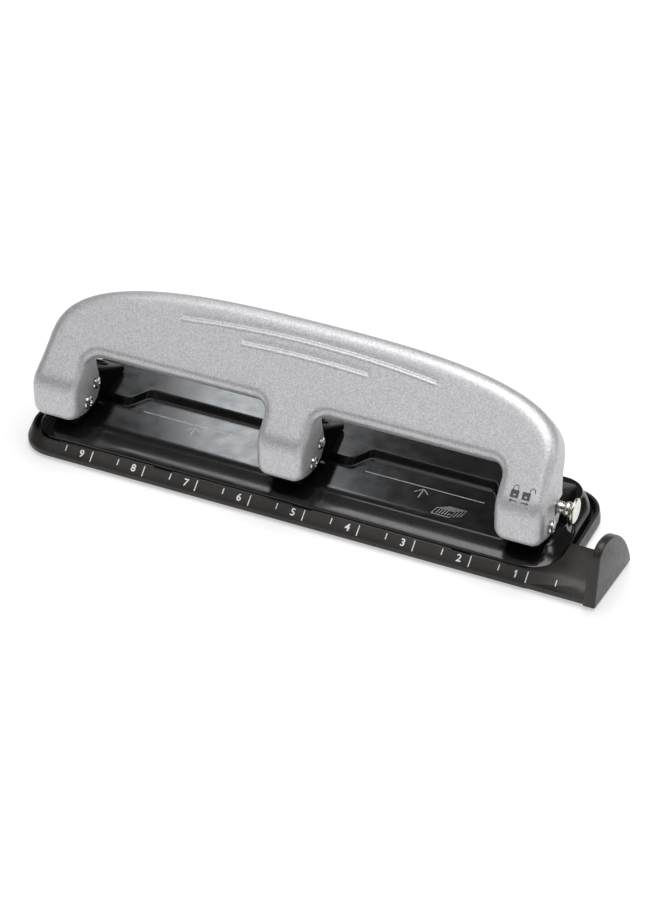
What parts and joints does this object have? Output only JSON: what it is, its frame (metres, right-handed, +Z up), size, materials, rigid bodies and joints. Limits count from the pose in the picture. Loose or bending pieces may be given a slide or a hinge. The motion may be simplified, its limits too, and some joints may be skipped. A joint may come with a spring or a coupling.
{
  "type": "three hole punch",
  "caption": "Desktop paper punch: an arched painted steel handle on pinned feet over a black steel base, with a chip tray, ruler front, paper stop and lock pin.",
  "frame": {"origin": "middle of the underside, on the surface that the punch stands on", "axes": "+X along the punch towards the paper stop, +Y from the ruler front to the back, +Z up"},
  "size_m": [0.2734, 0.068, 0.0733],
  "materials": {
    "silver_paint": "fine silver metallic paint, satin",
    "black_steel": "gloss black enamel on pressed steel",
    "black_plastic": "satin moulded plastic",
    "nickel": "bright nickel plating",
    "tool_steel": "ground tool steel",
    "rubber": "matt black rubber"
  },
  "bodies": {
    "base": {"base_plate": "black_steel", "punch_bracket_left": "black_steel", "punch_bracket_middle": "black_steel", "punch_bracket_right": "black_steel", "die_ring_left": "tool_steel", "die_ring_middle": "tool_steel", "die_ring_right": "tool_steel", "pivot_rivet_left": "nickel", "pivot_rivet_middle": "nickel", "pivot_rivet_right": "nickel", "return_spring_left": "tool_steel", "return_spring_middle": "tool_steel", "return_spring_right": "tool_steel", "bracket_rivet_left_1": "tool_steel", "bracket_rivet_left_2": "tool_steel", "bracket_rivet_middle_1": "tool_steel", "bracket_rivet_middle_2": "tool_steel", "bracket_rivet_right_1": "tool_steel", "bracket_rivet_right_2": "tool_steel"},
    "handle": {"handle_shell": "silver_paint", "drive_pin_left": "nickel", "drive_pin_middle": "nickel"},
    "tray": {"chip_tray": "black_plastic", "rubber_foot_front_left": "rubber", "rubber_foot_front_right": "rubber", "rubber_foot_back_left": "rubber", "rubber_foot_back_right": "rubber"},
    "lock_pin": {"lock_pin": "nickel"},
    "punch_left": {"punch_pin_left": "tool_steel", "retaining_clip_left": "nickel"},
    "punch_middle": {"punch_pin_middle": "tool_steel", "retaining_clip_middle": "nickel"},
    "punch_right": {"punch_pin_right": "tool_steel", "retaining_clip_right": "nickel"}
  },
  "joints": [
    {"name": "handle_press", "type": "hinge", "parent": "base", "child": "handle", "pos_m": [-0.0112, -0.01785, 0.0243], "axis": [-1, 0, 0], "range_deg": [0, 25], "stiffness_Nm_per_rad": 1, "springref_deg": -17.19},
    {"name": "punch_travel_left", "type": "slide", "parent": "base", "child": "punch_left", "axis": [0, 0, -1], "range_m": [0, 0.00395], "deforming": ["return_spring_left"]},
    {"name": "punch_travel_middle", "type": "slide", "parent": "base", "child": "punch_middle", "axis": [0, 0, -1], "range_m": [0, 0.00395], "deforming": ["return_spring_middle"]},
    {"name": "punch_travel_right", "type": "slide", "parent": "base", "child": "punch_right", "axis": [0, 0, -1], "range_m": [0, 0.00395], "deforming": ["return_spring_right"]},
    {"name": "lock_slide", "type": "slide", "parent": "handle", "child": "lock_pin", "axis": [-1, 0, 0], "range_m": [0, 0.0035]},
    {"name": "tray_release", "type": "slide", "parent": "base", "child": "tray", "axis": [0, 0, -1], "range_m": [0, 0.02]}
  ],
  "couplings": [
    {"joint": "punch_travel_left", "follows": "handle_press", "m_per_rad": 0.008968},
    {"joint": "punch_travel_middle", "follows": "handle_press", "m_per_rad": 0.008968},
    {"joint": "punch_travel_right", "follows": "handle_press", "m_per_rad": 0.008968}
  ]
}
